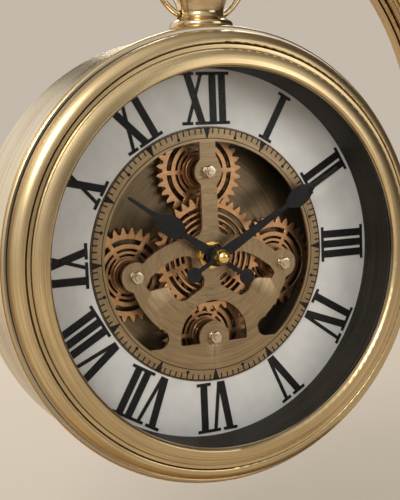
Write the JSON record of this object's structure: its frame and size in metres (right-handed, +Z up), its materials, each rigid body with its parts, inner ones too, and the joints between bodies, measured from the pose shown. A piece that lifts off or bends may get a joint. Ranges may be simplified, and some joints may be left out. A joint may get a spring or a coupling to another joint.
{
  "type": "table clock",
  "caption": "Round gear clock with a skeleton centre, hung by its bow from a hook inside a moulded brass arch on a stepped, weighted base.",
  "frame": {"origin": "middle of the base's underside (the felt), straight below the bow's pins", "axes": "+X to the right as the dial is read, +Y to the back, +Z up"},
  "size_m": [0.34, 0.112, 0.4286],
  "materials": {
    "brass_arch": "satin, lacquered antique brass, moulded",
    "brass_base": "satin lacquered antique brass",
    "brass_bezel": "turned and brushed, satin",
    "brass_case": "brushed, satin",
    "brass_polished": "polished, lacquered",
    "brass_inner": "arc-grained satin",
    "bright_brass": "polished",
    "copper_gear": "satin, copper toned",
    "champagne": "satin, pale",
    "steel": "bright screws",
    "iron": "blackened ballast",
    "felt": "felt",
    "glass": "clear, flat",
    "rubber": "matt",
    "dial": "silvery off-white, finely brushed",
    "black_print": "black, semi-matt",
    "black_paint": "matt black",
    "dark_rehaut": "dark brown, fine concentric grain",
    "dark_pan": "dark bronze",
    "dark_disc": "dark, circular brushed",
    "black_plastic": "moulded",
    "cell": "plain sleeve"
  },
  "bodies": {
    "stand": {"felt_pad": "felt", "base_plinth": "brass_base", "ballast_plate": "iron", "base_cap": "brass_base", "leg_bolts": "steel", "arch_frame": "brass_arch", "leg_shoe_left": "brass_base", "leg_shoe_right": "brass_base", "hanger_hook": "brass_polished", "finial_washer": "brass_polished", "crown_finial": "brass_polished"},
    "bow": {"bow": "brass_polished"},
    "head": {"pendant_neck": "brass_polished", "crown_knob": "brass_polished", "neck_screws": "steel", "case_band": "brass_case", "outer_bezel": "brass_bezel", "inner_bezel": "brass_bezel", "lens_gasket": "rubber", "glass_lens": "glass", "rehaut_ring": "dark_rehaut", "dial_ring": "dial", "hour_numerals": "black_print", "skeleton_plate": "brass_inner", "gear_pan": "dark_pan", "back_disc": "dark_disc", "pan_screws": "steel", "gear_posts": "champagne", "post_sleeves": "champagne", "post_nuts": "champagne", "gear_motor": "steel", "quartz_movement": "black_plastic", "movement_cell": "cell", "centre_washer": "bright_brass", "centre_nut": "bright_brass", "rear_cover": "black_plastic", "cover_screws": "steel", "battery_box": "black_plastic", "gear_cells": "cell", "gear_switch": "black_plastic"},
    "minute_drive": {"minute_hand": "black_paint", "minute_arbor": "bright_brass", "hand_cap": "bright_brass"},
    "hour_drive": {"hour_hand": "black_paint", "hour_tube": "bright_brass"},
    "setting": {"setting_knob": "black_plastic"},
    "sun": {"sun_wheel": "copper_gear", "sun_pinion": "copper_gear", "sun_hub": "champagne"},
    "motor_drive": {"motor_pinion": "champagne"},
    "door": {"battery_door": "black_plastic"},
    "switch": {"switch_slider": "rubber"},
    "satellite_top": {"satellite_gear_top": "copper_gear", "satellite_hub_top": "copper_gear"},
    "satellite_right": {"satellite_gear_right": "copper_gear", "satellite_hub_right": "copper_gear"},
    "satellite_bottom": {"satellite_gear_bottom": "copper_gear", "satellite_hub_bottom": "copper_gear"},
    "satellite_left": {"satellite_gear_left": "copper_gear", "satellite_hub_left": "copper_gear"}
  },
  "joints": [
    {"name": "bow_sway", "type": "hinge", "parent": "stand", "child": "bow", "pos_m": [0, 0, 0.367], "axis": [0, 1, 0], "range_deg": [-4, 4]},
    {"name": "head_tilt", "type": "hinge", "parent": "bow", "child": "head", "pos_m": [0, 0, 0.32], "axis": [1, 0, 0], "range_deg": [-12, 12]},
    {"name": "minute_turn", "type": "hinge", "parent": "head", "child": "minute_drive", "pos_m": [0, -0.002, 0.201], "axis": [0, 1, 0], "continuous": true},
    {"name": "hour_turn", "type": "hinge", "parent": "head", "child": "hour_drive", "pos_m": [0, -0.002, 0.201], "axis": [0, 1, 0], "continuous": true},
    {"name": "setting_turn", "type": "hinge", "parent": "head", "child": "setting", "pos_m": [0.01394, -0.002, 0.19973], "axis": [0, 1, 0], "continuous": true},
    {"name": "sun_turn", "type": "hinge", "parent": "head", "child": "sun", "pos_m": [0, -0.002, 0.201], "axis": [0, 1, 0], "continuous": true},
    {"name": "satellite_turn_top", "type": "hinge", "parent": "head", "child": "satellite_top", "pos_m": [0, -0.002, 0.243], "axis": [0, 1, 0], "continuous": true},
    {"name": "satellite_turn_right", "type": "hinge", "parent": "head", "child": "satellite_right", "pos_m": [0.04131, -0.002, 0.19342], "axis": [0, 1, 0], "continuous": true},
    {"name": "satellite_turn_bottom", "type": "hinge", "parent": "head", "child": "satellite_bottom", "pos_m": [0, -0.002, 0.159], "axis": [0, 1, 0], "continuous": true},
    {"name": "satellite_turn_left", "type": "hinge", "parent": "head", "child": "satellite_left", "pos_m": [-0.04131, -0.002, 0.19342], "axis": [0, 1, 0], "continuous": true},
    {"name": "motor_turn", "type": "hinge", "parent": "head", "child": "motor_drive", "pos_m": [0.02304, -0.002, 0.17334], "axis": [0, 1, 0], "continuous": true},
    {"name": "door_slide", "type": "slide", "parent": "head", "child": "door", "axis": [0, 0, 1], "range_m": [0, 0.031]},
    {"name": "switch_slide", "type": "slide", "parent": "head", "child": "switch", "axis": [0, 0, 1], "range_m": [0, 0.004]}
  ],
  "couplings": [
    {"joint": "hour_turn", "follows": "minute_turn", "ratio": 0.083333},
    {"joint": "setting_turn", "follows": "minute_turn", "ratio": -1},
    {"joint": "satellite_turn_top", "follows": "sun_turn", "ratio": -0.86667},
    {"joint": "satellite_turn_right", "follows": "sun_turn", "ratio": -0.86667},
    {"joint": "satellite_turn_bottom", "follows": "sun_turn", "ratio": -0.86667},
    {"joint": "satellite_turn_left", "follows": "sun_turn", "ratio": -0.86667},
    {"joint": "motor_turn", "follows": "sun_turn", "ratio": -3.8}
  ]
}
